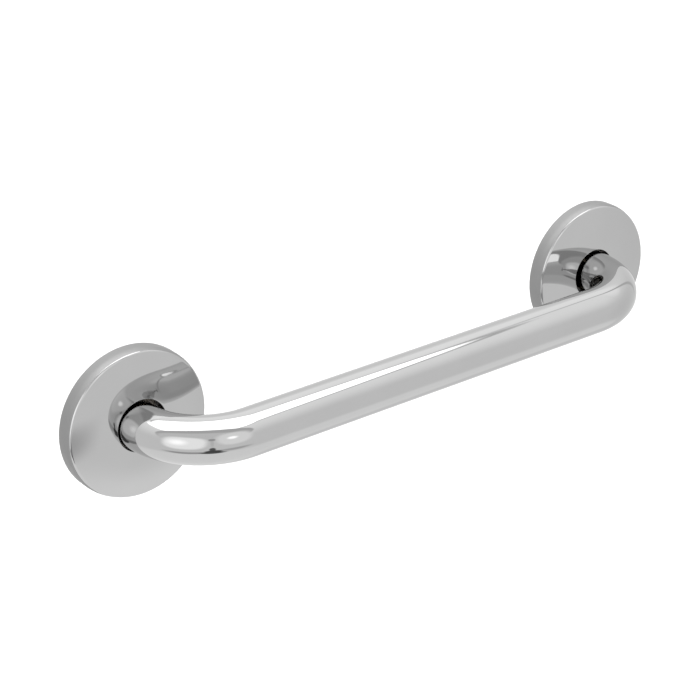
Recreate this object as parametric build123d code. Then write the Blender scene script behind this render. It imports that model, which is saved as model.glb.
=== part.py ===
from build123d import *

import os
from math import atan2, cos, hypot, pi, radians, sin, sqrt

# Wall-mounted grab rail: one bent tube with a fixing plate welded to each end, and a loose
# push-on rose over each plate that hides its screws. Millimetres, +Z up, X along the rail.
# The wall is the plane y = 0, the rail stands off it towards -Y, and the origin lies on the
# wall midway between the two legs.

# Rail
LEG_SPACING = 305.0  # between the axes of the two legs
STAND_OFF = 50.5  # wall to the axis of the rail
TUBE_RADIUS = 12.5
TUBE_WALL = 1.5
BEND_RADIUS = 38.0  # of the tube's axis

# Rose: a pressed sheet cover. Its skirt is straight, then leans in over a shoulder to a rounded
# edge, and its face is flat round the hole and falls away in a shallow arc towards that edge.
ROSE_RADIUS = 40.0
ROSE_SKIRT_DEPTH = 4.6  # wall to the end of the straight skirt
ROSE_SHOULDER_RADIUS = 10.0
ROSE_DEPTH = 11.4  # wall to the flat of the face
ROSE_FLAT_RADIUS = 16.0
ROSE_CROWN_RADIUS = 130.0  # of the arc from the flat to the edge
ROSE_EDGE_ROUND = 1.5
ROSE_SHEET = 1.0
ROSE_HOLE_RADIUS = 14.0
ROSE_WALL_GAP = 0.2  # the skirt stops just short of the wall
HOLE_EDGE_ROUND = 0.4

# Fixing plate and the weld that joins it to the tube
PLATE_RADIUS = 37.0
PLATE_THICKNESS = 3.0
PLATE_EDGE_CHAMFER = 0.4
WELD_LEG = 4.0
WELD_SWELL = 0.6  # how far out the bead bulges along each leg, as a share of the leg
WELD_GAP = 0.05  # the plate's centre hole is this much larger in radius than the tube

# Grip ring: seats on the plate's rim and holds the rose
GRIP_FIT = 0.05  # clearance to the plate and to the rose
GRIP_START = 0.4  # wall to the ring's back
GRIP_LIP_WIDTH = 1.0
GRIP_LIP_THICKNESS = 1.3

# Screws, three to a plate, placed clear of the rail that passes over the plate
SCREW_CIRCLE_RADIUS = 25.0
SCREW_ANGLES = (60.0, 180.0, 300.0)  # from the direction that points along the rail to its middle
SCREW_RADIUS = 2.5  # over the thread, which starts at the wall
SCREW_NECK_RADIUS = 2.24  # plain shank inside the plate, as wide as a rolled thread's pitch circle
SCREW_LENGTH = 16.0  # below the head
SCREW_POINT = 0.8  # chamfer at the end of the thread
SCREW_HOLE_RADIUS = 2.75
HEAD_RADIUS = 4.75
HEAD_HEIGHT = 3.2
HEAD_SIDE = 1.4  # straight side of the pan head below its dome
RECESS_SPAN = 4.6
RECESS_WIDTH = 1.0
RECESS_DEPTH = 1.8
WASHER_RADIUS = 5.0
WASHER_THICKNESS = 1.0

SIDES = {"left": -1, "right": 1}


def on_leg(side, shape):
    """Put a shape drawn about local Z, with z as the distance from the wall, on a leg's axis."""
    leg = Plane(origin=(side * LEG_SPACING / 2, 0, 0), x_dir=(1, 0, 0), z_dir=(0, -1, 0))
    return leg * shape


def revolved(edges):
    """Solid of revolution about local Z from edges drawn as (radius, depth)."""
    return revolve(Plane.XZ * make_face(edges), Axis.Z)


def ring(inner, outer, start, end):
    """Plain ring between two radii and two depths."""
    return revolved(Polyline((inner, start), (outer, start), (outer, end), (inner, end), close=True))


def rail_path():
    """Axis of the tube: up one leg, round, along the rail, round and down the other leg."""
    half = LEG_SPACING / 2
    corners = [(-half, 0, 0), (-half, -STAND_OFF, 0), (half, -STAND_OFF, 0), (half, 0, 0)]
    return FilletPolyline(*corners, radius=BEND_RADIUS)


def rail_tube():
    """Tube bent from one length, open at both ends against the wall."""
    path = rail_path()
    start = Plane(origin=path @ 0, z_dir=path % 0)
    outside = sweep(start * Circle(TUBE_RADIUS), path)
    bore = sweep(start * Circle(TUBE_RADIUS - TUBE_WALL), path)
    return outside - bore


def touching_centre(first, first_reach, second, second_reach):
    """Outer meeting point of two circles about given centres: the centre of an arc that touches
    both of the arcs it lies between."""
    apart_x = second[0] - first[0]
    apart_y = second[1] - first[1]
    apart = hypot(apart_x, apart_y)
    along = (first_reach**2 - second_reach**2 + apart**2) / (2 * apart)
    off = sqrt(first_reach**2 - along**2)
    foot_x = first[0] + along * apart_x / apart
    foot_y = first[1] + along * apart_y / apart
    return (foot_x - off * apart_y / apart, foot_y + off * apart_x / apart)


def rose_side(inset):
    """Edges of one side of the sheet, inset into it by a distance, from the wall to the hole."""
    shoulder = (ROSE_RADIUS - ROSE_SHOULDER_RADIUS, ROSE_SKIRT_DEPTH)
    crown = (ROSE_FLAT_RADIUS, ROSE_DEPTH - ROSE_CROWN_RADIUS)
    shoulder_reach = ROSE_SHOULDER_RADIUS - ROSE_EDGE_ROUND
    crown_reach = ROSE_CROWN_RADIUS - ROSE_EDGE_ROUND
    edge = touching_centre(shoulder, shoulder_reach, crown, crown_reach)
    shoulder_end = atan2(edge[1] - shoulder[1], edge[0] - shoulder[0])
    crown_start = atan2(edge[1] - crown[1], edge[0] - crown[0])
    arcs = [
        (shoulder, ROSE_SHOULDER_RADIUS - inset, 0, shoulder_end),
        (edge, ROSE_EDGE_ROUND - inset, shoulder_end, crown_start),
        (crown, ROSE_CROWN_RADIUS - inset, crown_start, pi / 2),
    ]
    edges = [Line((ROSE_RADIUS - inset, ROSE_WALL_GAP), (ROSE_RADIUS - inset, ROSE_SKIRT_DEPTH))]
    for centre, radius, start, end in arcs:
        points = []
        for angle in (start, (start + end) / 2, end):
            points.append((centre[0] + radius * cos(angle), centre[1] + radius * sin(angle)))
        edges.append(ThreePointArc(*points))
    flat_depth = ROSE_DEPTH - inset
    edges.append(Line((ROSE_FLAT_RADIUS, flat_depth), (ROSE_HOLE_RADIUS, flat_depth)))
    return edges


def rose():
    """Push-on cover, open at the back and pierced for the leg."""
    foot = Line((ROSE_RADIUS, ROSE_WALL_GAP), (ROSE_RADIUS - ROSE_SHEET, ROSE_WALL_GAP))
    hole = Line((ROSE_HOLE_RADIUS, ROSE_DEPTH), (ROSE_HOLE_RADIUS, ROSE_DEPTH - ROSE_SHEET))
    cover = revolved(rose_side(0) + rose_side(ROSE_SHEET) + [foot, hole])
    hole_edges = cover.edges().filter_by(GeomType.CIRCLE).filter_by(
        lambda edge: abs(edge.radius - ROSE_HOLE_RADIUS) < HOLE_EDGE_ROUND
    )
    return fillet(hole_edges, HOLE_EDGE_ROUND)


def grip_ring():
    """Black nylon ring with an inner lip that rests on the front of the plate."""
    inner = PLATE_RADIUS + GRIP_FIT
    outer = ROSE_RADIUS - ROSE_SHEET - GRIP_FIT
    lip_back = PLATE_THICKNESS + GRIP_FIT
    band = ring(inner, outer, GRIP_START, lip_back)
    lip = ring(inner - GRIP_LIP_WIDTH, outer, lip_back, lip_back + GRIP_LIP_THICKNESS)
    return band + lip


def screw_spots(side):
    """Centres of a plate's screws, mirrored so that both plates keep them clear of the rail."""
    spots = []
    for angle in SCREW_ANGLES:
        along = -side * SCREW_CIRCLE_RADIUS * cos(radians(angle))
        across = SCREW_CIRCLE_RADIUS * sin(radians(angle))
        spots.append(Pos(along, across, 0))
    return spots


def fixing_plate(side):
    """Round plate that the screws hold to the wall, with the tube let into its centre."""
    plate = ring(TUBE_RADIUS + WELD_GAP, PLATE_RADIUS, 0, PLATE_THICKNESS)
    rim = plate.edges().group_by(Axis.Z)[-1].sort_by(SortBy.LENGTH)[-1]
    plate = chamfer(rim, PLATE_EDGE_CHAMFER)
    hole = Cylinder(SCREW_HOLE_RADIUS, 3 * PLATE_THICKNESS)
    for spot in screw_spots(side):
        plate -= spot * hole
    return plate


def weld_bead():
    """Fillet weld round the tube on the front of the plate."""
    corner = (TUBE_RADIUS, PLATE_THICKNESS)
    toe = (TUBE_RADIUS + WELD_LEG, PLATE_THICKNESS)
    top = (TUBE_RADIUS, PLATE_THICKNESS + WELD_LEG)
    swell = WELD_LEG * WELD_SWELL
    crest = (TUBE_RADIUS + swell, PLATE_THICKNESS + swell)
    return revolved([Line(corner, toe), ThreePointArc(toe, crest, top), Line(top, corner)])


def washer():
    """Flat washer that lies on the plate."""
    return ring(SCREW_HOLE_RADIUS, WASHER_RADIUS, PLATE_THICKNESS, PLATE_THICKNESS + WASHER_THICKNESS)


def screw():
    """Pan head screw with a cross recess, its shank running on past the wall plane."""
    seat = PLATE_THICKNESS + WASHER_THICKNESS
    tip = seat - SCREW_LENGTH
    head_top = seat + HEAD_HEIGHT
    dome_height = HEAD_HEIGHT - HEAD_SIDE
    dome_radius = (HEAD_RADIUS**2 + dome_height**2) / (2 * dome_height)
    half_way = HEAD_RADIUS / 2
    half_way_depth = head_top - dome_radius + sqrt(dome_radius**2 - half_way**2)
    outline = [
        Line((0, tip), (SCREW_RADIUS - SCREW_POINT, tip)),
        Line((SCREW_RADIUS - SCREW_POINT, tip), (SCREW_RADIUS, tip + SCREW_POINT)),
        Line((SCREW_RADIUS, tip + SCREW_POINT), (SCREW_RADIUS, 0)),
        Line((SCREW_RADIUS, 0), (SCREW_NECK_RADIUS, 0)),
        Line((SCREW_NECK_RADIUS, 0), (SCREW_NECK_RADIUS, seat)),
        Line((SCREW_NECK_RADIUS, seat), (HEAD_RADIUS, seat)),
        Line((HEAD_RADIUS, seat), (HEAD_RADIUS, seat + HEAD_SIDE)),
        ThreePointArc((HEAD_RADIUS, seat + HEAD_SIDE), (half_way, half_way_depth), (0, head_top)),
        Line((0, head_top), (0, tip)),
    ]
    recess_centre = Pos(0, 0, head_top - RECESS_DEPTH / 2)
    long_slot = Box(RECESS_SPAN, RECESS_WIDTH, RECESS_DEPTH)
    cross_slot = Box(RECESS_WIDTH, RECESS_SPAN, RECESS_DEPTH)
    return revolved(outline) - recess_centre * long_slot - recess_centre * cross_slot


def group(side, piece):
    """One copy of a fastener at each of a plate's screw centres."""
    return [spot * piece for spot in screw_spots(side)]


def save(name, shape):
    """Write one node as a STEP file."""
    export_step(shape, f"parts/{name}.step")


def build():
    """Write every node."""
    os.makedirs("parts", exist_ok=True)
    tube = rail_tube()
    bends = pi * BEND_RADIUS
    straights = 2 * (STAND_OFF - BEND_RADIUS) + LEG_SPACING - 2 * BEND_RADIUS
    section = pi * (TUBE_RADIUS**2 - (TUBE_RADIUS - TUBE_WALL) ** 2)
    print("tube volume over section times length:", round(tube.volume / (section * (bends + straights)), 5))
    save("rail_tube", tube)
    for name, side in SIDES.items():
        save(f"{name}_rose", on_leg(side, rose()))
        save(f"{name}_grip_ring", on_leg(side, grip_ring()))
        save(f"{name}_fixing_plate", on_leg(side, fixing_plate(side)))
        save(f"{name}_weld_bead", on_leg(side, weld_bead()))
        save(f"{name}_washers", Compound([on_leg(side, one) for one in group(side, washer())]))
        save(f"{name}_screws", Compound([on_leg(side, one) for one in group(side, screw())]))


build()
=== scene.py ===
from math import asin, atan2, ceil, cos, pi, radians, sin, sqrt, tan

import bpy
from mathutils import Matrix, Vector


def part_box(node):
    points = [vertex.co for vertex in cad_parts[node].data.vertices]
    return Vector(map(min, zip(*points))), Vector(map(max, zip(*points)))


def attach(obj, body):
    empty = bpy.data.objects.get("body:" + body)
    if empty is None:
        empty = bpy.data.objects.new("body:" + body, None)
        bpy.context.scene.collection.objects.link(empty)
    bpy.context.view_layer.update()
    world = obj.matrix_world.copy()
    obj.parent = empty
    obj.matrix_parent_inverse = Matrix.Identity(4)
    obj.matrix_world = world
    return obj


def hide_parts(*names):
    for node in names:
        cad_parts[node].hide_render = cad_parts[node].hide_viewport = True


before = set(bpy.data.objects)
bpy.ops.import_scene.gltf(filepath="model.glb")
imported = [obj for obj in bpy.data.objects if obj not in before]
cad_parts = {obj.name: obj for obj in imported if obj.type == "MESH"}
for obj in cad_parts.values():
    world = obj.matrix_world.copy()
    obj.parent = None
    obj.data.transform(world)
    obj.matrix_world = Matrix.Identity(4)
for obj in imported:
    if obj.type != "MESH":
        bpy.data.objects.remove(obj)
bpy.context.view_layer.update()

# A polished grab rail on two round roses, in metres. The wall is the plane y = 0, the rail
# stands off towards -Y, and X runs along it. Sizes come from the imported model's boxes; the
# few that a box can't give are named here.

# Rail
BEND_RADIUS = 0.038  # of the tube's axis
TUBE_WALL = 0.0015
LEG_STEPS = 4  # facets along each straight part of a leg
RUN_STEPS = 24  # and along the straight run between the bends

# Rose
ROSE_FLAT_RADIUS = 0.016
ROSE_CROWN_RADIUS = 0.130
ROSE_SKIRT_DEPTH = 0.0046  # wall to the end of the straight skirt
ROSE_SHOULDER_RADIUS = 0.010
ROSE_EDGE_ROUND = 0.0015
ROSE_SHEET = 0.001
ROSE_HOLE_RADIUS = 0.014
HOLE_LIP_ROUND = 0.0004
HOLE_SHIFT = {"left": 0.0009, "right": -0.0005}  # along X, each hole is punched a little off centre

# Screws
SCREW_CIRCLE_RADIUS = 0.025
SCREW_ANGLES = (60, 180, 300)  # degrees, from the direction to the rail's middle
RECESS_TWIST = 0.37  # each cross stops at its own turn
SCREW_THREAD_RADIUS = 0.0025
SCREW_LENGTH = 0.016  # below the head
SCREW_NECK_RADIUS = 0.00224
SCREW_PITCH = 0.0008
THREAD_DEPTH = 0.00045
SCREW_POINT = 0.0008
SCREW_TIP_RADIUS = 0.0002
THREAD_FLANK = 3.2  # how steep the ridge is: more leaves a wider root
THREAD_STEPS = 10  # rings along one pitch
HEAD_HEIGHT = 0.0032
HEAD_SIDE = 0.0014
HEAD_SIDE_ROUND = 0.0003
RECESS_SPAN = 0.0046
RECESS_WIDTH = 0.001
RECESS_DEPTH = 0.0018
RECESS_FLOOR_SCALE = 0.62  # the arms taper from a little over full size above the head
RECESS_MOUTH_SCALE = 1.12
CUTTER_REACH = 0.001  # of the cutter past the head

# Weld
WELD_RIPPLES = 56
WELD_RIPPLE_DEPTH = 0.00022
WELD_RIPPLE_LAG = 2.2  # radians by which a ripple's crown trails its toes
WELD_SWELL = 0.6  # how far the fillet bulges, as a share of its leg
WELD_STEPS = 14  # facets across the bead
RIPPLE_STEPS = 12  # and along one ripple

# Camera: its direction from the rail, its tilt, its lens and its distance
CAMERA_AZIMUTH = -36.17  # degrees, as in direction()
CAMERA_ELEVATION = 24.98
CAMERA_ROLL = -1.43
CAMERA_LENS = 105.23  # millimetres, on a sensor as wide as SENSOR_WIDTH
SENSOR_WIDTH = 36
CAMERA_TARGET = (0, -0.03, 0)
CAMERA_DISTANCE = 1.08175
CAMERA_OFFSET = (-0.02976, 0.00278)  # to its right and up

FLOOR_SIZE = 8.0
FLOOR_HEIGHT = -0.28

ROUND_STEPS = 192  # facets round a tube or a rose
ARC_STEPS = 48  # facets along a bend
SCREW_STEPS = 48  # facets round a screw
SHARP_EDGE = 35  # degrees; shading breaks at an edge that turns more
SIDES = {"left": -1, "right": 1}


# ---------------------------------------------------------------- meshes


def new_piece(name, verts, faces, materials, rows=None):
    """A smooth mesh object. rows gives each face's place in the list of materials."""
    mesh = bpy.data.meshes.new(name)
    mesh.from_pydata(verts, [], faces)
    for material in materials:
        mesh.materials.append(material)
    if rows:
        mesh.polygons.foreach_set("material_index", rows)
    mesh.validate()
    mesh.shade_smooth()
    mesh.set_sharp_from_angle(angle=radians(SHARP_EDGE))
    piece = bpy.data.objects.new(name, mesh)
    bpy.context.scene.collection.objects.link(piece)
    return piece


def mount(piece, body, node):
    """Ride a piece on a body, in place of a CAD node."""
    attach(piece, body)
    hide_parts(node)


def skin(rings, closed):
    """Faces over rings of equal length, each ring closed; closed joins the last ring to the first."""
    count = len(rings[0])
    verts = [point for ring in rings for point in ring]
    faces = []
    for row in range(len(rings) if closed else len(rings) - 1):
        here = row * count
        there = (row + 1) % len(rings) * count
        for step in range(count):
            following = (step + 1) % count
            faces.append((here + step, here + following, there + following, there + step))
    return verts, faces


def arc(centre, radius, start, end, steps):
    """Points of an arc in a profile plane, as (radius from the axis, depth), angles in radians."""
    spots = []
    for step in range(steps + 1):
        angle = start + (end - start) * step / steps
        spots.append((centre[0] + radius * cos(angle), centre[1] + radius * sin(angle)))
    return spots


def line(start, end, steps):
    """Evenly spaced points of a straight run, without its end."""
    return [tuple(a + (b - a) * step / steps for a, b in zip(start, end)) for step in range(steps)]


def around(leg_x, radius, depth, angle):
    """A point round a leg's axis; depth runs from the wall to -Y."""
    return (leg_x + radius * cos(angle), -depth, radius * sin(angle))


# ---------------------------------------------------------------- nodes


def node(tree, kind, inputs=None, **settings):
    """A shader node with its settings, and its inputs given as values or as sockets to link."""
    made = tree.nodes.new("ShaderNode" + kind)
    for setting, value in settings.items():
        setattr(made, setting, value)
    for key, value in (inputs or {}).items():
        if isinstance(value, bpy.types.NodeSocket):
            tree.links.new(value, made.inputs[key])
        else:
            made.inputs[key].default_value = value
    return made


def maths(tree, operation, *values):
    """A Math node's output."""
    return node(tree, "Math", dict(enumerate(values)), operation=operation).outputs[0]


def remap(tree, value, start, end, low, high, style="LINEAR"):
    """value, clamped to start..end, mapped to low..high."""
    inputs = {"Value": value, "From Min": start, "From Max": end, "To Min": low, "To Max": high}
    return node(tree, "MapRange", inputs, interpolation_type=style).outputs["Result"]


def noise(tree, coords, scale, detail=2.0, stretch=(1, 1, 1)):
    """Noise with features of about 1 / scale metres, shorter along the stretched axes."""
    mapped = node(tree, "Mapping", {"Vector": coords, "Scale": stretch}).outputs["Vector"]
    return node(tree, "TexNoise", {"Vector": mapped, "Scale": scale, "Detail": detail}).outputs[0]


def blend(tree, factor, first, second):
    """Mix of two colours, each a colour or a socket."""
    made = node(tree, "Mix", {0: factor, 6: first, 7: second}, data_type="RGBA")
    return made.outputs[2]


def grey(level, warm=0.0):
    """A grey, a little towards yellow or, below zero, towards blue."""
    return (level * (1 + warm), level, level * (1 - warm), 1)


def new_material(name):
    """An empty material: its node tree, its Principled shader and coordinates in metres."""
    material = bpy.data.materials.new(name)
    material.use_nodes = True
    tree = material.node_tree
    shader = tree.nodes["Principled BSDF"]
    return material, tree, shader, node(tree, "TexCoord").outputs["Object"]


def finish(tree, shader, colour, roughness, height, depth):
    """Link colour, roughness and a bump of a given depth in metres to the shader."""
    bump = node(tree, "Bump", {"Height": height, "Distance": depth, "Strength": 1.0})
    tree.links.new(colour, shader.inputs["Base Color"])
    tree.links.new(roughness, shader.inputs["Roughness"])
    tree.links.new(bump.outputs["Normal"], shader.inputs["Normal"])


def leg_radius(tree, coords, leg_x):
    """Distance from a leg's axis."""
    split = node(tree, "SeparateXYZ", {0: coords})
    across = maths(tree, "SUBTRACT", split.outputs["X"], leg_x)
    squares = maths(tree, "MULTIPLY", across, across)
    squares = maths(tree, "MULTIPLY_ADD", split.outputs["Z"], split.outputs["Z"], squares)
    return maths(tree, "SQRT", squares)


# ---------------------------------------------------------------- materials


def polished_steel(name, level, gloss, lines):
    """Mirror polished stainless: faint haze, slight waves, and hairlines, which are finer along the
    axes that lines stretches more."""
    material, tree, shader, coords = new_material(name)
    shader.inputs["Metallic"].default_value = 1.0
    haze = noise(tree, coords, 55, 4)
    hairs = noise(tree, coords, 1, 3, lines)
    scratches = remap(tree, hairs, 0.63, 0.78, 0, 1)
    colour = blend(tree, haze, grey(level * 0.975), grey(level * 1.025))
    dull = remap(tree, haze, 0.35, 0.7, gloss, gloss + 0.02)
    roughness = maths(tree, "MULTIPLY_ADD", scratches, 0.03, dull)
    waves = noise(tree, coords, 75, 1)
    height = maths(tree, "MULTIPLY_ADD", scratches, -0.02, waves)
    finish(tree, shader, colour, roughness, height, 0.000006)
    return material


def brushed_steel(name, level):
    """The rose's skirt, brush-finished round: satin, with the fine rings of the brush. The level it is
    given sits below the polished face's: painted shade on the rose's side.
    """
    material, tree, shader, coords = new_material(name)
    shader.inputs["Metallic"].default_value = 1.0
    rings = noise(tree, coords, 1, 4, (25, 3800, 25))
    haze = noise(tree, coords, 90, 3)
    colour = blend(tree, rings, grey(level * 0.94), grey(level * 1.06))
    roughness = maths(tree, "MULTIPLY_ADD", rings, 0.1, remap(tree, haze, 0.3, 0.7, 0.44, 0.52))
    finish(tree, shader, colour, roughness, rings, 0.000002)
    return material


def dull_steel(name, level):
    """Unpolished steel inside the rose and the tube, darkened by pressing oil and scale."""
    material, tree, shader, coords = new_material(name)
    shader.inputs["Metallic"].default_value = 0.6
    stains = noise(tree, coords, 130, 5)
    grain = noise(tree, coords, 2600, 2)
    colour = blend(tree, stains, grey(level * 0.6, 0.03), grey(level * 1.4, 0.01))
    roughness = remap(tree, stains, 0.3, 0.7, 0.45, 0.65)
    finish(tree, shader, colour, roughness, grain, 0.00001)
    return material


def plate_steel(name, leg_x):
    """Mill-finish plate: rolling lines along X, and a heat tint round the weld."""
    material, tree, shader, coords = new_material(name)
    shader.inputs["Metallic"].default_value = 1.0
    lines = noise(tree, coords, 1, 4, (60, 1500, 2200))
    stains = noise(tree, coords, 70, 4)
    plain = blend(tree, stains, grey(0.46, 0.01), grey(0.56))
    radius = maths(tree, "MULTIPLY_ADD", stains, 0.002, leg_radius(tree, coords, leg_x))
    blue = remap(tree, radius, 0.0175, 0.0195, 1, 0, "SMOOTHSTEP")
    straw = remap(tree, radius, 0.0195, 0.0235, 1, 0, "SMOOTHSTEP")
    tinted = blend(tree, maths(tree, "MULTIPLY", straw, 0.75), plain, (0.55, 0.40, 0.20, 1))
    tinted = blend(tree, maths(tree, "MULTIPLY", blue, 0.8), tinted, (0.20, 0.22, 0.34, 1))
    roughness = maths(tree, "MULTIPLY_ADD", lines, 0.2, remap(tree, stains, 0.3, 0.7, 0.18, 0.3))
    finish(tree, shader, tinted, roughness, lines, 0.00001)
    return material


def weld_steel(name):
    """Bead of a gas-shielded weld: dull grey with straw and violet oxide."""
    material, tree, shader, coords = new_material(name)
    shader.inputs["Metallic"].default_value = 0.4
    clouds = noise(tree, coords, 240, 4)
    specks = noise(tree, coords, 1800, 3)
    colour = blend(tree, remap(tree, clouds, 0.38, 0.62, 0, 1), grey(0.55), (0.50, 0.45, 0.39, 1))
    colour = blend(tree, remap(tree, specks, 0.62, 0.75, 0, 0.7), colour, (0.20, 0.18, 0.23, 1))
    roughness = remap(tree, clouds, 0.3, 0.7, 0.28, 0.48)
    finish(tree, shader, colour, roughness, specks, 0.00003)
    return material


def zinc_plate(name):
    """Bright zinc plating on fasteners: bluish, softly mottled, with tumbling dents."""
    material, tree, shader, coords = new_material(name)
    shader.inputs["Metallic"].default_value = 1.0
    mottle = noise(tree, coords, 420, 3)
    dents = noise(tree, coords, 1500, 2)
    colour = blend(tree, mottle, (0.50, 0.53, 0.57, 1), (0.66, 0.67, 0.66, 1))
    worn = remap(tree, dents, 0.55, 0.75, 0, 0.12)
    roughness = maths(tree, "ADD", worn, remap(tree, mottle, 0.3, 0.7, 0.24, 0.36))
    finish(tree, shader, colour, roughness, dents, 0.00002)
    return material


def black_nylon(name):
    """Moulded nylon: fine spark-eroded grain and a few paler rubs."""
    material, tree, shader, coords = new_material(name)
    grain = noise(tree, coords, 3200, 2)
    rubs = noise(tree, coords, 260, 5)
    colour = blend(tree, remap(tree, rubs, 0.55, 0.75, 0, 1), grey(0.012), grey(0.035, 0.02))
    roughness = remap(tree, rubs, 0.3, 0.7, 0.42, 0.58)
    finish(tree, shader, colour, roughness, grain, 0.00002)
    return material


def pale_floor(name):
    """Matt pale floor."""
    material, tree, shader, coords = new_material(name)
    clouds = noise(tree, coords, 3, 3)
    fine = noise(tree, coords, 700, 2)
    colour = blend(tree, clouds, grey(0.90), grey(0.92))
    finish(tree, shader, colour, remap(tree, fine, 0.3, 0.7, 0.75, 0.9), fine, 0.00002)
    return material


# ---------------------------------------------------------------- rail


def rail_path(leg_x, stand_off):
    """(point, direction) pairs along the tube's axis."""
    start = (-leg_x, 0.0)
    turn = stand_off - BEND_RADIUS
    stops = [((x, y), (0, -1)) for x, y in line(start, (-leg_x, -turn), LEG_STEPS)]
    for side in (-1, 1):
        centre = (side * (leg_x - BEND_RADIUS), -turn)
        for step in range(ARC_STEPS + 1):
            angle = pi / 2 * (step if side < 0 else ARC_STEPS - step) / ARC_STEPS
            point = (centre[0] + side * BEND_RADIUS * cos(angle), centre[1] - BEND_RADIUS * sin(angle))
            stops.append((point, (sin(angle), side * cos(angle))))
        if side < 0:
            run = line((-leg_x + BEND_RADIUS, -stand_off), (leg_x - BEND_RADIUS, -stand_off), RUN_STEPS)
            stops += [(point, (1, 0)) for point in run[1:]]
    back = line((leg_x, -turn), (leg_x, 0.0), LEG_STEPS)[1:] + [(leg_x, 0.0)]
    stops += [(point, (0, 1)) for point in back]
    return stops


def tube_rings(stops, radius):
    """Rings of a round tube along the axis."""
    rings = []
    for (x, y), (along_x, along_y) in stops:
        ring = []
        for step in range(ROUND_STEPS):
            angle = 2 * pi * step / ROUND_STEPS
            out = radius * cos(angle)
            ring.append((x - along_y * out, y + along_x * out, radius * sin(angle)))
        rings.append(ring)
    return rings


def make_rail(polished, dull):
    """The bent tube, hollow and open against the wall."""
    low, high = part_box("rail_tube")
    radius = high.z
    leg_x = high.x - radius
    stops = rail_path(leg_x, -low.y - radius)
    outside = tube_rings(stops, radius)
    inside = tube_rings(stops, radius - TUBE_WALL)
    verts, faces = skin(outside + inside[::-1], closed=True)
    first_inside = len(outside) * ROUND_STEPS
    rows = [int(face >= first_inside) for face in range(len(faces))]
    piece = new_piece("rail", verts, faces, (polished, dull), rows)
    mount(piece, "rail", "rail_tube")


# ---------------------------------------------------------------- roses


def touching_centre(first, first_reach, second, second_reach):
    """Centre of an arc that touches both of the arcs it lies between, given their centres and
    how far it lies from each."""
    apart = Vector(second) - Vector(first)
    along = (first_reach**2 - second_reach**2 + apart.length_squared) / (2 * apart.length)
    off = sqrt(first_reach**2 - along**2)
    ahead = apart.normalized()
    return Vector(first) + along * ahead + off * Vector((-ahead.y, ahead.x))


def rose_profile(rim_radius, wall_gap, crown_depth):
    """Closed section of the sheet, in along the front and out again along the inside, and where
    the skirt, the crown and the front end in it."""
    shoulder = (rim_radius - ROSE_SHOULDER_RADIUS, ROSE_SKIRT_DEPTH)
    crown = (ROSE_FLAT_RADIUS, crown_depth - ROSE_CROWN_RADIUS)
    shoulder_reach = ROSE_SHOULDER_RADIUS - ROSE_EDGE_ROUND
    crown_reach = ROSE_CROWN_RADIUS - ROSE_EDGE_ROUND
    edge = touching_centre(shoulder, shoulder_reach, crown, crown_reach)
    shoulder_end = atan2(edge[1] - shoulder[1], edge[0] - shoulder[0])
    crown_start = atan2(edge[1] - crown[1], edge[0] - crown[0])
    front = line((rim_radius, wall_gap), (rim_radius, ROSE_SKIRT_DEPTH), 4)
    front += arc(shoulder, ROSE_SHOULDER_RADIUS, 0, shoulder_end, 12)
    skirt_end = len(front)
    front += arc(edge, ROSE_EDGE_ROUND, shoulder_end, crown_start, 14)[1:]
    front += arc(crown, ROSE_CROWN_RADIUS, crown_start, pi / 2, 40)[1:]
    crown_end = len(front)
    lip = (ROSE_HOLE_RADIUS + HOLE_LIP_ROUND, crown_depth - HOLE_LIP_ROUND)
    front += arc(lip, HOLE_LIP_ROUND, pi / 2, pi, 6)
    back = [(ROSE_HOLE_RADIUS, crown_depth - ROSE_SHEET)]
    back += arc(crown, ROSE_CROWN_RADIUS - ROSE_SHEET, pi / 2, crown_start, 20)
    back += arc(edge, ROSE_EDGE_ROUND - ROSE_SHEET, crown_start, shoulder_end, 6)[1:]
    back += arc(shoulder, ROSE_SHOULDER_RADIUS - ROSE_SHEET, shoulder_end, 0, 8)[1:]
    back.append((rim_radius - ROSE_SHEET, wall_gap))
    return front + back, skirt_end, crown_end, len(front)


def make_rose(name, polished, brushed_and_shaded, dull):
    """One push-on rose."""
    low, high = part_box(name + "_rose")
    profile, skirt_end, crown_end, front_end = rose_profile((high.x - low.x) / 2, -high.y, -low.y)
    leg_x = (low.x + high.x) / 2
    turns = [2 * pi * step / ROUND_STEPS for step in range(ROUND_STEPS)]
    rings = []
    for place, (radius, depth) in enumerate(profile):
        in_hole = crown_end <= place <= front_end
        centre_x = leg_x + HOLE_SHIFT[name] if in_hole else leg_x
        rings.append([around(centre_x, radius, depth, angle) for angle in turns])
    verts, faces = skin(rings, closed=True)
    rows = []
    for ring in range(len(rings)):
        # row 1, the skirt, takes the darker steel that carries painted shade on the rose's side
        finish_place = 1 if ring < skirt_end else 0 if ring < front_end else 2
        rows += [finish_place] * ROUND_STEPS
    piece = new_piece(name + "_rose_cover", verts, faces, (polished, brushed_and_shaded, dull), rows)
    mount(piece, name + "_rose", name + "_rose")


# ---------------------------------------------------------------- welds and screws


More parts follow.
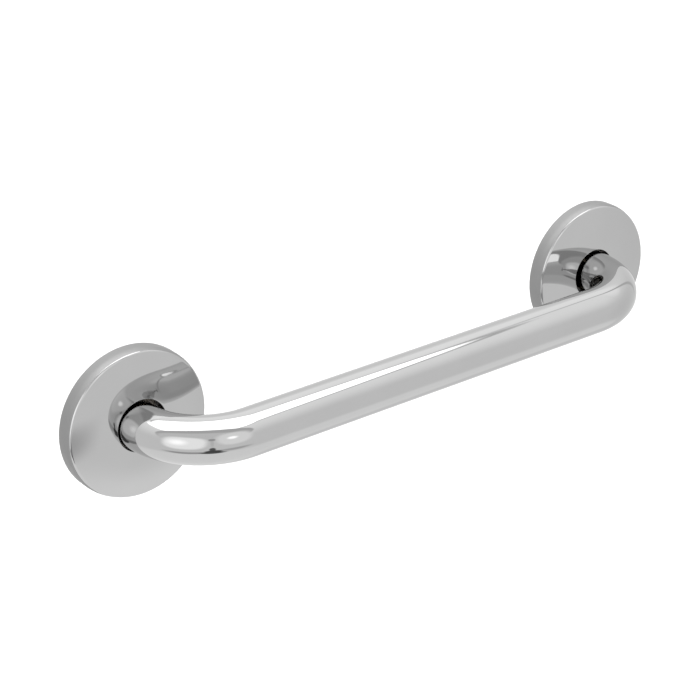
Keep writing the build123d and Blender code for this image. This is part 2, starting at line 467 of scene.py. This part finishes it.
def make_weld(name, material):
    """Fillet weld with the ripples of a hand-laid bead."""
    low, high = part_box(name + "_weld_bead")
    leg_x = (low.x + high.x) / 2
    toe_radius = (high.x - low.x) / 2
    plate_face = -high.y
    leg = high.y - low.y
    tube_radius = toe_radius - leg
    sections = []
    turn_steps = WELD_RIPPLES * RIPPLE_STEPS
    for turn in range(turn_steps):
        angle = 2 * pi * turn / turn_steps
        ring = [around(leg_x, tube_radius, plate_face, angle)]
        for step in range(WELD_STEPS + 1):
            share = step / WELD_STEPS
            bulge = 4 * share * (1 - share)
            swell = (2 * WELD_SWELL - 1) * leg / 2 * bulge
            ripple = 0.5 + 0.5 * sin(WELD_RIPPLES * angle + WELD_RIPPLE_LAG * bulge)
            inset = WELD_RIPPLE_DEPTH * ripple * bulge
            radius = tube_radius + (1 - share) * leg + swell - inset
            depth = plate_face + share * leg + swell - inset
            ring.append(around(leg_x, radius, depth, angle))
        sections.append(ring)
    verts, faces = skin(sections, closed=True)
    piece = new_piece(name + "_weld", verts, faces, (material,))
    mount(piece, "rail", name + "_weld_bead")


def thread_radius(depth, angle, crest):
    """Radius of the thread's surface at a depth and an angle."""
    turn = (depth / SCREW_PITCH - angle / (2 * pi)) % 1.0
    ridge = min(1.0, max(0.0, 1.5 - THREAD_FLANK * abs(turn - 0.5)))
    return crest - THREAD_DEPTH * (1 - ridge)


def screw_rings(seat, crest, head_radius):
    """Rings of one screw about its own axis, from the tip to the top of the head."""
    tip = seat - SCREW_LENGTH
    turns = [2 * pi * step / SCREW_STEPS for step in range(SCREW_STEPS)]
    rings = [[(SCREW_TIP_RADIUS, tip)] * SCREW_STEPS]
    rows = ceil(-tip / SCREW_PITCH * THREAD_STEPS)
    for row in range(rows + 1):
        depth = tip - tip * row / rows
        room = crest - max(0.0, SCREW_POINT - (depth - tip))
        rings.append([(min(room, thread_radius(depth, angle, crest)), depth) for angle in turns])
    head_top = seat + HEAD_HEIGHT
    dome_height = HEAD_HEIGHT - HEAD_SIDE
    dome_radius = (head_radius**2 + dome_height**2) / (2 * dome_height)
    outline = line((SCREW_NECK_RADIUS, 0.0), (SCREW_NECK_RADIUS, seat), 2)
    outline += [(SCREW_NECK_RADIUS, seat), (head_radius - HEAD_SIDE_ROUND, seat)]
    foot = (head_radius - HEAD_SIDE_ROUND, seat + HEAD_SIDE_ROUND)
    outline += arc(foot, HEAD_SIDE_ROUND, -pi / 2, 0, 4)
    lean = asin(head_radius / dome_radius)
    crown_gap = lean / 40  # left for the flat face that closes the dome
    outline += arc((0, head_top - dome_radius), dome_radius, pi / 2 - lean, pi / 2 - crown_gap, 14)
    rings += [[spot] * SCREW_STEPS for spot in outline]
    return rings, turns


def recess_cutter(head_top):
    """Two crossed tapered blocks: their corners as (across, along, depth), and their faces."""
    verts = []
    faces = []
    ends = (
        (head_top - RECESS_DEPTH, RECESS_FLOOR_SCALE),
        (head_top + CUTTER_REACH, RECESS_MOUTH_SCALE),
    )
    for wide, narrow in ((RECESS_SPAN, RECESS_WIDTH), (RECESS_WIDTH, RECESS_SPAN)):
        first = len(verts)
        for depth, scale in ends:
            half_wide = wide / 2 * scale
            half_narrow = narrow / 2 * scale
            for across, along in ((-1, -1), (1, -1), (1, 1), (-1, 1)):
                verts.append((across * half_wide, along * half_narrow, depth))
        sides = [(step, (step + 1) % 4, (step + 1) % 4 + 4, step + 4) for step in range(4)]
        for face in [(3, 2, 1, 0), (4, 5, 6, 7)] + sides:
            faces.append(tuple(first + corner for corner in face))
    return verts, faces


def make_screw_mesh(seat, crest, head_radius, material):
    """One screw about local Z, tip down, with its cross recess cut."""
    rings, turns = screw_rings(seat, crest, head_radius)
    spots = []
    for ring in rings:
        spots.append([(r * cos(a), r * sin(a), depth) for (r, depth), a in zip(ring, turns)])
    verts, faces = skin(spots, closed=False)
    last = len(verts) - SCREW_STEPS
    faces.append(tuple(range(SCREW_STEPS))[::-1])
    faces.append(tuple(last + step for step in range(SCREW_STEPS)))
    body = new_piece("screw_blank", verts, faces, (material,))
    cutter = new_piece("screw_recess", *recess_cutter(seat + HEAD_HEIGHT), (material,))
    cut = body.modifiers.new("recess", "BOOLEAN")
    cut.operation = "DIFFERENCE"
    cut.solver = "EXACT"
    cut.use_self = True
    cut.object = cutter
    bpy.context.view_layer.update()
    graph = bpy.context.evaluated_depsgraph_get()
    mesh = bpy.data.meshes.new_from_object(body.evaluated_get(graph))
    verts = [tuple(vertex.co) for vertex in mesh.vertices]
    faces = [tuple(polygon.vertices) for polygon in mesh.polygons]
    for spare in (body, cutter):
        bpy.data.objects.remove(spare)
    return verts, faces


def make_screws(name, side, material):
    """A plate's three screws, as one piece."""
    low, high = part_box(name + "_screws")
    weld_low, weld_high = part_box(name + "_weld_bead")
    leg_x = (weld_low.x + weld_high.x) / 2
    head_radius = high.z - SCREW_CIRCLE_RADIUS * sin(radians(SCREW_ANGLES[0]))
    seat = -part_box(name + "_washers")[0].y
    one, shape = make_screw_mesh(seat, SCREW_THREAD_RADIUS, head_radius, material)
    verts = []
    faces = []
    for angle in SCREW_ANGLES:
        first = len(verts)
        centre_x = leg_x - side * SCREW_CIRCLE_RADIUS * cos(radians(angle))
        centre_z = SCREW_CIRCLE_RADIUS * sin(radians(angle))
        twist = radians(RECESS_TWIST * angle)
        for x, z, depth in one:
            along = x * cos(twist) - z * sin(twist)
            across = x * sin(twist) + z * cos(twist)
            verts.append((centre_x + along, -depth, centre_z + across))
        faces += [tuple(first + corner for corner in face) for face in shape]
    piece = new_piece(name + "_plate_screws", verts, faces, (material,))
    mount(piece, "rail", name + "_screws")


# ---------------------------------------------------------------- studio


def direction(azimuth, elevation):
    """Unit vector; azimuth 0 is straight out from the wall, 90 is along +X."""
    azimuth, elevation = radians(azimuth), radians(elevation)
    return Vector((sin(azimuth) * cos(elevation), -cos(azimuth) * cos(elevation), sin(elevation)))


def make_camera():
    """Camera at the left, a little above, with a long lens."""
    roll = radians(CAMERA_ROLL)
    back = direction(CAMERA_AZIMUTH, CAMERA_ELEVATION)
    right = Vector((0, 0, 1)).cross(back).normalized()
    up = back.cross(right)
    turned_right = cos(roll) * right + sin(roll) * up
    turned_up = cos(roll) * up - sin(roll) * right
    aside, above = CAMERA_OFFSET
    place = Vector(CAMERA_TARGET) + CAMERA_DISTANCE * back + aside * turned_right + above * turned_up
    data = bpy.data.cameras.new("camera")
    data.sensor_width = SENSOR_WIDTH
    data.lens = CAMERA_LENS
    data.clip_start = 0.01
    camera = bpy.data.objects.new("camera", data)
    pose = Matrix((turned_right, turned_up, back)).transposed().to_4x4()
    pose.translation = place
    camera.matrix_world = pose
    bpy.context.scene.collection.objects.link(camera)
    bpy.context.scene.camera = camera


def lamp(tree, below, ray, panel):
    """One soft-edged panel of the surroundings over what is below it."""
    azimuth, elevation, width, height, edge, radiance, roll, power = panel
    facing = direction(azimuth, elevation)
    right = Vector((0, 0, 1)).cross(-facing)
    right = right.normalized() if right.length > 0.001 else Vector((1, 0, 0))
    turn = Matrix.Rotation(radians(-roll), 3, facing)
    across = turn @ right / tan(radians(width))
    along = turn @ (-facing).cross(right) / tan(radians(height))
    reaches = []
    for axis in (facing, across, along):
        product = node(tree, "VectorMath", {0: ray, 1: axis}, operation="DOT_PRODUCT")
        reaches.append(product.outputs["Value"])
    ahead = reaches.pop(0)
    near = maths(tree, "MAXIMUM", ahead, 0.001)
    shares = []
    for reach in reaches:
        share = maths(tree, "ABSOLUTE", maths(tree, "DIVIDE", reach, near))
        shares.append(maths(tree, "POWER", share, power))
    reach = maths(tree, "POWER", maths(tree, "ADD", *shares), 1 / power)
    mask = remap(tree, reach, 1 - edge, 1 + edge, 1, 0, "SMOOTHSTEP")
    return node(tree, "Mix", {0: mask, 2: below, 3: radiance}).outputs[0]


# What surrounds the rail: (azimuth, elevation, half width, half height, soft edge, radiance,
# roll, power), each laid over the ones before it.
SURROUNDINGS = (
    (92, -14, 44, 26, 0.6, 0.86, 0, 2),  # shaded side of the tent
    (120, -46, 26, 16, 0.5, 0.84, 0, 2),  # and of its floor
    (128, 44, 36, 9, 0.5, 1.33, 0, 3),  # glow behind the overhead panel
    (104, 21, 2.2, 33, 0.5, 0.66, 0, 4),  # seam of the tent
    (0, 90, 37, 31, 0.02, 0.70, 20, 2.5),  # dark rim of the overhead panel
    (0, 90, 35.4, 29.4, 0.02, 2.6, 20, 2.5),  # overhead panel
    (-118, 58, 16, 9, 0.1, 2.6, 0, 2.5),  # and the corner where it hangs lower
    (-37, 48, 49, 22.5, 0.06, 0.66, 0, 2.5),  # broad rim on the camera's side
    (-42, 38, 45, 19, 0.15, 0.88, 0, 2.5),  # tent below it
    (-59, 10, 24, 26, 0.2, 1.42, 0, 3),  # left panel
    (-67, 13, 9, 10, 0.8, 1.9, 0, 2),  # and its lamp
    (-2, 20, 19, 25, 0.25, 1.18, 0, 2.5),  # front panel
    (-4, 24, 5, 5, 0.6, 2.0, 0, 2),  # and its lamp
    (-28, 9, 1.8, 15, 0.5, 0.80, 0, 4),  # stand between the two
    (-28, 25, 3.5, 4.5, 0.3, 0.50, 0, 3),  # its head
    (-55, -34, 24, 4.5, 0.4, 0.50, 0, 3),  # shadows beside its foot
    (-3, -27, 17, 5, 0.5, 0.60, 0, 2),
    (-28, -19, 3.5, 8, 0.3, 0.14, 0, 2),  # the dark foot
    (-27, -30, 9, 7, 0.25, 0.10, 0, 2),
    (-27, -36, 13, 4, 0.3, 0.12, 0, 2),
)


def make_world():
    """A white tent with an overhead panel, a left panel and a front panel."""
    world = bpy.data.worlds.new("studio")
    world.use_nodes = True
    tree = world.node_tree
    ray = node(tree, "TexCoord").outputs["Generated"]
    height = node(tree, "SeparateXYZ", {0: ray}).outputs["Z"]
    low_glow = remap(tree, height, -0.68, -0.50, 0.15, 0, "SMOOTHSTEP")
    high_glow = remap(tree, height, 0.20, 0.85, 0.93, 1.26, "SMOOTHSTEP")
    radiance = maths(tree, "ADD", low_glow, high_glow)  # a white tent, lighter below and above
    for panel in SURROUNDINGS:
        radiance = lamp(tree, radiance, ray, panel)
    background = tree.nodes["Background"]
    background.inputs["Color"].default_value = (1, 1, 1, 1)
    tree.links.new(radiance, background.inputs["Strength"])
    bpy.context.scene.world = world
    bpy.context.scene.view_settings.view_transform = "Standard"


def make_floor(material):
    """Plain pale floor well below the rail, lit by the tent but left out of the reflections."""
    half = FLOOR_SIZE / 2
    corners = [(-half, -half), (half, -half), (half, half), (-half, half)]
    verts = [(x, y, FLOOR_HEIGHT) for x, y in corners]
    floor_piece = new_piece("floor", verts, [(0, 1, 2, 3)], (material,))
    floor_piece.visible_glossy = False


# ---------------------------------------------------------------- the model

rail_steel = polished_steel("rail_steel", 0.52, 0.035, (70, 2600, 2600))
rose_steel = polished_steel("rose_steel", 0.52, 0.04, (1900, 1900, 1900))
# The skirt's level, 0.34 against the face's 0.52, is painted shade on the rose's side, not a different
# steel.
shaded_skirt_steel = brushed_steel("shaded_skirt_steel", 0.34)
inside_steel = dull_steel("inside_steel", 0.30)
bead_steel = weld_steel("bead_steel")
zinc = zinc_plate("zinc")
nylon = black_nylon("nylon")

make_rail(rail_steel, inside_steel)
for side_name, side_sign in SIDES.items():
    make_rose(side_name, rose_steel, shaded_skirt_steel, inside_steel)
    make_weld(side_name, bead_steel)
    make_screws(side_name, side_sign, zinc)
    plate_low, plate_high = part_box(side_name + "_fixing_plate")
    plate = plate_steel(side_name + "_plate_steel", (plate_low.x + plate_high.x) / 2)
    for cad_node, cad_finish in (("fixing_plate", plate), ("grip_ring", nylon), ("washers", zinc)):
        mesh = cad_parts[side_name + "_" + cad_node].data
        mesh.materials.clear()
        mesh.materials.append(cad_finish)

make_floor(pale_floor("pale_floor"))
make_world()
make_camera()
